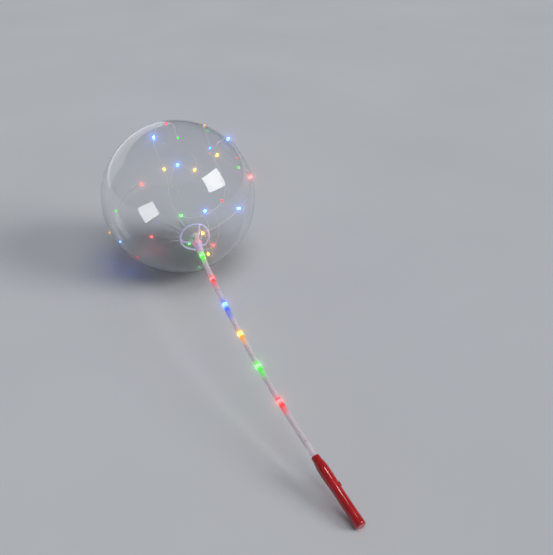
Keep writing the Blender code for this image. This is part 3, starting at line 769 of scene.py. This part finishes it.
def make_button(mat):
    """The power button's soft dome."""
    rise = HANDLE_WALL + BUTTON_PROUD
    profile = [(0.0, BUTTON_RADIUS)]
    for angle in quarter_turn():
        height = rise - BUTTON_PROUD * (1 - math.sin(angle))
        profile.append((height, BUTTON_RADIUS * (0.32 + 0.68 * math.cos(angle))))
    profile.append((rise, TIP_RADIUS))
    foot = (BUTTON_X, 0.0, HANDLE_THICKNESS / 2 * 0.92 - HANDLE_WALL)
    button = stood(lathe("button_cap", profile, 48), foot, -90)
    button.transform(handle_rig)
    finish_piece(link("button_cap", button), mat, "power_button", 40.0)


# The light string

def on_balloon(polar, degrees, reach):
    """A place at two angles and a distance from the balloon's centre."""
    tilt = math.radians(polar)
    return round_axis(reach * math.cos(tilt), reach * math.sin(tilt), degrees)


def balloon_stations():
    """The string's stations on the balloon, each with its place, its heading and whether it has a light."""
    places = []
    for number, (polar, degrees) in enumerate(BALLOON_LIGHTS):
        places.append((on_balloon(polar, degrees, STRING_REACH), True))
        if number in WIRE_GUIDES:
            polar, degrees, lift = WIRE_GUIDES[number]
            places.append((on_balloon(polar, degrees, STRING_REACH + lift), False))
    outside = round_axis(RING_X, RING_RADIUS, WIRE_HOLE_ANGLE)
    stations = []
    for number, (place, has_light) in enumerate(places):
        before = places[number - 1][0] if number else outside
        after = places[number + 1][0] if number + 1 < len(places) else place + (place - before)
        outward = place.normalized()
        heading = (place - before).normalized() + (after - place).normalized()
        heading -= outward * heading.dot(outward)
        stations.append((place, heading.normalized(), has_light))
    return stations


def light_frames():
    """Each light's place and heading along the string, from the handle to the string's free end."""
    frames = []
    for number in range(STICK_LIGHT_COUNT):
        here = stick_frame(STICK_LIGHT_FIRST + STICK_LIGHT_PITCH * (STICK_LIGHT_COUNT - 1 - number))
        frames.append((here.translation, -(here.to_3x3() @ Vector((1, 0, 0)))))
    loose = round_axis(HUB_X + STICK_LIGHT_FIRST, STICK_RADIUS * 2.6, WIRE_HOLE_ANGLE)
    frames.append((loose, Vector((1, 0, 0))))
    frames += [(place, heading) for place, heading, has_light in balloon_stations() if has_light]
    return frames


def tilt_of(point):
    """The angle from the cup's axis, seen from the balloon's centre."""
    return math.degrees(math.atan2(math.hypot(point.y, point.z), point.x))


def balloon_stretch(first, second, heading_out, heading_in):
    """Points between two stations, lifted where the wire passes over the cup's ring."""
    pull = (second - first).length * 0.8
    lift_out, lift_in = (end.length - STRING_REACH for end in (first, second))
    crosses_ring = (tilt_of(first) < RING_TILT) != (tilt_of(second) < RING_TILT)
    steps = 11 if crosses_ring else 4
    points = []
    for i in range(1, steps):
        t = i / steps
        point = hermite(first, second, pull * heading_out, pull * heading_in, t)
        near = max(0.0, 1.0 - ((tilt_of(point) - RING_TILT) / 1.6) ** 2)
        hop = (HOP_REACH - STRING_REACH) * min(1.0, 2.5 * near)
        lift = lift_out * (1 - t) + lift_in * t
        points.append(point.normalized() * (STRING_REACH + max(hop, lift)))
    return points


def string_route():
    """The wire's points: up the stick, out of the hub, down to the loose light and round the balloon."""
    half = LIGHT_LENGTH * 0.62
    frames = light_frames()
    points = [stick_frame(STICK_END + 0.004).translation]
    for place, heading in frames[:STICK_LIGHT_COUNT]:
        points += [place - heading * half, place + heading * half]
    angle = WIRE_HOLE_ANGLE
    points += [
        Vector((WIRE_HOLE_X + 0.006, 0, 0)),
        round_axis(WIRE_HOLE_X + 0.0008, 0.0012, angle),
        round_axis(WIRE_HOLE_X, HUB_RADIUS * 0.6, angle),
        round_axis(WIRE_HOLE_X + 0.001, HUB_RADIUS * 1.15, angle),
        round_axis(WIRE_HOLE_X + 0.010, HUB_RADIUS * 1.45, angle),
    ]
    loose, down = frames[STICK_LIGHT_COUNT]
    turn = HUB_X + STICK_LIGHT_FIRST
    points += [
        loose - down * half,
        loose + down * half,
        round_axis(turn + 0.0125, STICK_RADIUS * 2.9, angle),
        round_axis(turn + 0.0160, STICK_RADIUS * 3.6, angle + 5),
        round_axis(turn + 0.0130, STICK_RADIUS * 4.2, angle + 9),
        round_axis(turn - 0.0120, STICK_RADIUS * 4.6, angle + 15),
        round_axis(HUB_X + 0.010, RING_RADIUS * 0.92, angle + 24),
        round_axis(RING_X + 0.010, RING_RADIUS * 1.35, angle + 38),
    ]
    last_point = last_heading = None
    for place, heading, has_light in balloon_stations():
        straight = heading * (half if has_light else 0.0)
        if last_point:
            points += balloon_stretch(last_point, place - straight, last_heading, heading)
        points += [place - straight, place + straight] if has_light else [place]
        last_point, last_heading = place + straight, heading
    return points


def make_wire(mat):
    """Two fine strands twisted together along the string's route."""
    path, side, up = frames_along(smooth_path(string_route(), STRAND_PITCH / 8))
    run = np.concatenate([[0.0], np.cumsum(np.linalg.norm(np.diff(path, axis=0), axis=1))])
    turn = math.tau * run[:, None] / STRAND_PITCH
    offset = STRAND_RADIUS * (np.cos(turn) * side + np.sin(turn) * up)
    strands = [sweep("strand", path + sign * offset, STRAND_RADIUS, 5) for sign in (1, -1)]
    obj = joined("string_strands", strands)
    obj.data.transform(rig)
    finish_piece(obj, mat, "light_string_wire", 80.0)


def light_level(number):
    """A light's share of its full power."""
    if number in FULL_LIGHTS:
        return 1.0
    if number in FAINT_LIGHTS:
        return 0.06
    in_stick = number <= STICK_LIGHT_COUNT
    return 0.15 if in_stick else 0.45


def make_lights(mats):
    """A resin drop for each light, bulging round the chip, with the wire going into both its ends."""
    half, tip, sides = LIGHT_LENGTH / 2, 0.0005, 16
    for number, (place, heading) in enumerate(light_frames(), 1):
        colour = COLOUR_ORDER[(number - 1) % len(COLOUR_ORDER)]
        level = light_level(number)
        profile, core = [], []
        for angle in np.linspace(0, math.pi, 15):
            x = -half * math.cos(angle)
            profile.append((x, tip + (LIGHT_RADIUS - tip) * math.sin(angle) ** 0.8))
            core.append(level * math.exp(-((x / (half * 0.70)) ** 2)))
        name = f"{number:02d}_{colour}"
        mesh = lathe(f"lamp_{name}", profile, sides)
        set_attribute(mesh, "core", np.repeat(core, sides))
        facing = heading.to_track_quat("X", "Z").to_matrix().to_4x4()
        mesh.transform(rig @ Matrix.Translation(place) @ facing)
        finish_piece(link(mesh.name, mesh), mats[colour], f"light_{name}", 80.0)


# Studio

def make_floor():
    """The plain pale floor."""
    made, tree, shader = new_material("studio_floor")
    tone = between(tree, spread(tree, noise(tree, 1.2), 0, 1), (0.68, 0.69, 0.71), (0.72, 0.73, 0.75))
    tree.links.new(tone, shader.inputs["Base Color"])
    shader.inputs["Roughness"].default_value = 0.9
    shader.inputs["Specular IOR Level"].default_value = 0.0
    mesh = bpy.data.meshes.new("floor")
    corners = [(FLOOR_REACH * x, FLOOR_REACH * y, 0) for x, y in ((-1, -1), (1, -1), (1, 1), (-1, 1))]
    mesh.from_pydata(corners, [], [(0, 1, 2, 3)])
    mesh.materials.append(made)
    link("floor", mesh)


def area_light(name, place, target, size, power, across=None):
    """A soft panel of light that the camera doesn't see; across is the direction of its width."""
    data = bpy.data.lights.new(name, "AREA")
    data.shape = "RECTANGLE"
    data.size, data.size_y = size
    data.energy = power
    obj = link(name, data)
    back = (place - target).normalized()
    side = Vector(across) if across else Vector((0, 0, 1)).cross(back)
    side = (side - back * side.dot(back)).normalized()
    turn = Matrix((side, back.cross(side), back)).transposed().to_4x4()
    obj.matrix_world = Matrix.Translation(place) @ turn
    obj.visible_camera = False
    return obj


def sun_light(name, towards, energy, degrees):
    """An even light from one side, as wide as the angle, that no surface mirrors."""
    data = bpy.data.lights.new(name, "SUN")
    data.energy, data.angle = energy, math.radians(degrees)
    obj = link(name, data)
    obj.rotation_euler = Vector(towards).to_track_quat("Z", "Y").to_euler()
    obj.visible_glossy = obj.visible_transmission = False


def make_world():
    """A dim and even surround."""
    world = bpy.data.worlds.new("studio")
    bpy.context.scene.world = world
    world.use_nodes = True
    background = world.node_tree.nodes["Background"]
    background.inputs["Color"].default_value = (0.55, 0.60, 0.68, 1)
    background.inputs["Strength"].default_value = 0.29


def make_softbox():
    """The panel that the film mirrors as two four-sided patches, with no light on matt faces."""
    on_film = Vector((-0.254, 0.049, 0.323))
    place = on_film + TO_SOFTBOX * 3.2
    softbox = area_light("softbox", place, on_film, (1.84, 1.32), 48, across=(-0.71, 0.648, -0.106))
    softbox.visible_diffuse = False


def make_rim_panel():
    """The panel that the film mirrors as a pale band, with no light on matt faces."""
    place = BALLOON_CENTRE + Vector((-0.95, -0.30, 0.22)) * 2.6
    rim = area_light("rim", place, BALLOON_CENTRE, (3.0, 1.5), 12)
    rim.visible_transmission = rim.visible_diffuse = False


def make_handle_shine():
    """A small light for the handle alone, which gives the light spot on its shoulder."""
    shoulder = Vector((0.541, -0.018, 0.057))
    place = shoulder + Vector((-0.098, 0.392, 0.915)) * 0.8
    shine = area_light("shine", place, shoulder, (0.13, 0.13), 0.9)
    lit = bpy.data.collections.new("handle")
    shine.light_linking.receiver_collection = lit
    for name in ("handle_shell", "cover_panel", "button_cap"):
        lit.objects.link(bpy.data.objects[name])


def make_studio():
    """The floor and its two soft suns, and the panels for the film's and the handle's reflections."""
    make_floor()
    make_world()
    make_softbox()
    sun_light("key", TO_SOFTBOX, 1.2, 28)
    sun_light("overhead", (0.35, 0.10, 1.0), 0.78, 40)
    make_rim_panel()
    make_handle_shine()


def make_camera():
    """The photograph's camera."""
    elevation, azimuth = math.radians(CAMERA_ELEVATION), math.radians(CAMERA_AZIMUTH)
    level = math.cos(elevation)
    back = Vector((level * math.sin(azimuth), -level * math.cos(azimuth), math.sin(elevation)))
    data = bpy.data.cameras.new("camera")
    data.sensor_width = SENSOR_WIDTH
    data.lens = FOCAL_PIXELS * SENSOR_WIDTH / PHOTO_PIXELS
    data.clip_start, data.clip_end = 0.05, 100.0
    obj = link("camera", data)
    obj.location = CAMERA_PLACE
    obj.rotation_mode = "QUATERNION"
    obj.rotation_quaternion = (-back).to_track_quat("-Z", "Y")
    bpy.context.scene.camera = obj


def make_glare():
    """A soft bloom round the lit lamps, added over the picture."""
    scene = bpy.context.scene
    scene.use_nodes = True
    tree = scene.node_tree
    tree.nodes.clear()
    layers = tree.nodes.new("CompositorNodeRLayers")
    glare = tree.nodes.new("CompositorNodeGlare")
    glare.glare_type = "BLOOM"
    glare.quality = "HIGH"
    settings = {"Threshold": 1.5, "Strength": 1.0, "Size": 0.45, "Smoothness": 0.2, "Saturation": 1.0}
    for name, value in settings.items():
        glare.inputs[name].default_value = value
    more = tree.nodes.new("CompositorNodeExposure")
    more.inputs["Exposure"].default_value = 1.6
    total = tree.nodes.new("CompositorNodeMixRGB")
    total.blend_type = "ADD"
    out = tree.nodes.new("CompositorNodeComposite")
    tree.links.new(layers.outputs["Image"], glare.inputs["Image"])
    tree.links.new(glare.outputs["Glare"], more.inputs["Image"])
    tree.links.new(layers.outputs["Image"], total.inputs[1])
    tree.links.new(more.outputs["Image"], total.inputs[2])
    tree.links.new(total.outputs["Image"], out.inputs["Image"])


red = plastic(
    "red_plastic", (0.40, 0.002, 0.005), (0.52, 0.006, 0.009), (0.10, 0.20),
    Coat_Weight=0.5, Coat_Roughness=0.06,
)
rubber = plastic("red_rubber", (0.36, 0.005, 0.008), (0.46, 0.010, 0.013), (0.34, 0.50), grain=1800.0)

make_balloon(film_material(), neck_material())
make_cup(cup_material())
make_stick(stick_material())
make_body(red)
make_cover(red)
make_screw(steel_material())
make_button(rubber)
make_wire(wire_material())
make_lights({name: light_material(name) for name in HUES})
make_studio()
make_camera()
make_glare()
bpy.context.scene.view_settings.view_transform = "Standard"
